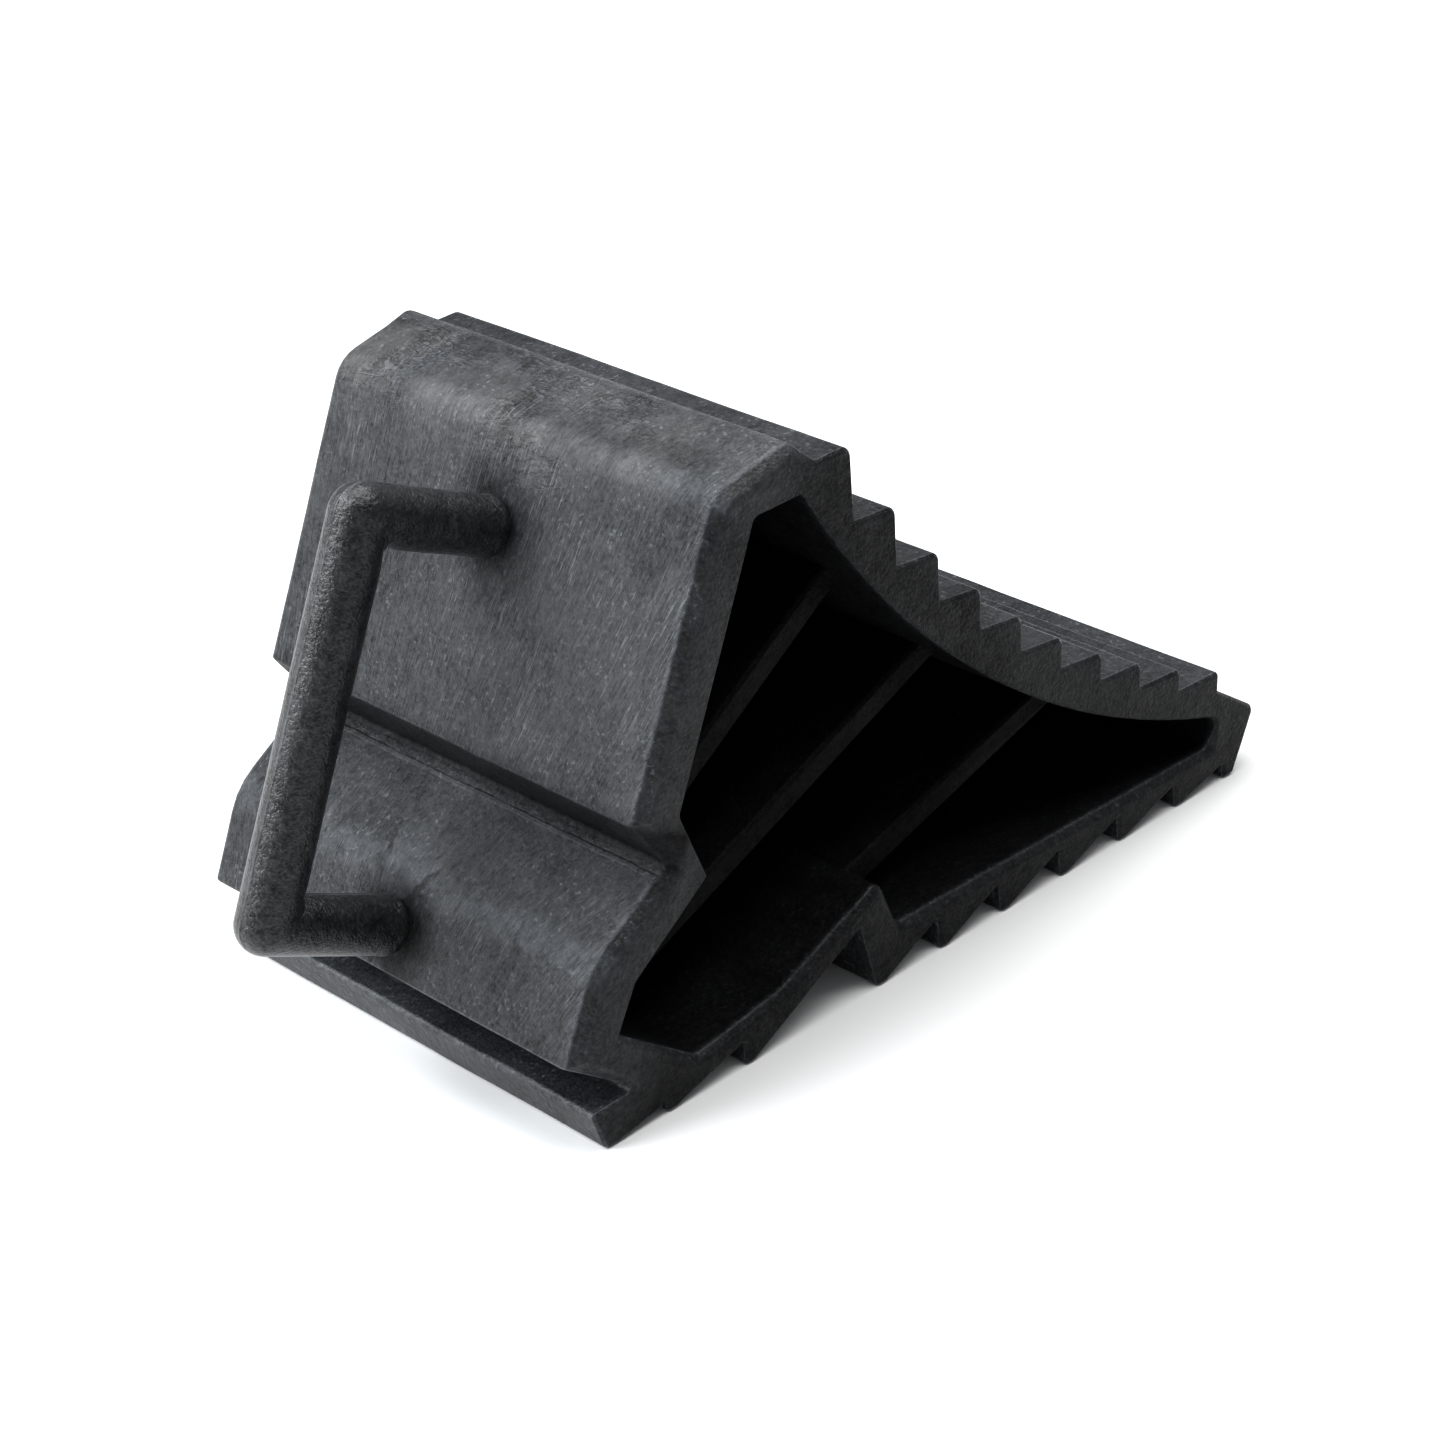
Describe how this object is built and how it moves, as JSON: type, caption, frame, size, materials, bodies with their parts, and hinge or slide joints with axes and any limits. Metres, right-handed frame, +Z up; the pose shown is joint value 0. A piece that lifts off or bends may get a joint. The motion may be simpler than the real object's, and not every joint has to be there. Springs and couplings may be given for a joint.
{
  "type": "wheel chock",
  "caption": "Moulded rubber wheel chock: stepped concave tyre face, barbed underside, ribbed open side cavities and a U-shaped rod handle on the back wall.",
  "frame": {"origin": "centre of the whole part's bounding box, on the surface it stands on", "axes": "+X towards the thin toe that goes under the tyre, the handle at -X, Y across the width, +Z up"},
  "size_m": [0.294, 0.15, 0.1607],
  "materials": {
    "body_rubber": "matt black moulded rubber with dusty flow lines",
    "sleeve_rubber": "matt black rubber with a mould parting line",
    "rod_steel": "plain mild steel rod, hidden",
    "anchor_steel": "plain steel washer, hidden"
  },
  "bodies": {
    "root": {"chock_body": "body_rubber", "handle_sleeve": "sleeve_rubber", "handle_core": "rod_steel", "upper_anchor": "anchor_steel", "lower_anchor": "anchor_steel"}
  },
  "joints": []
}
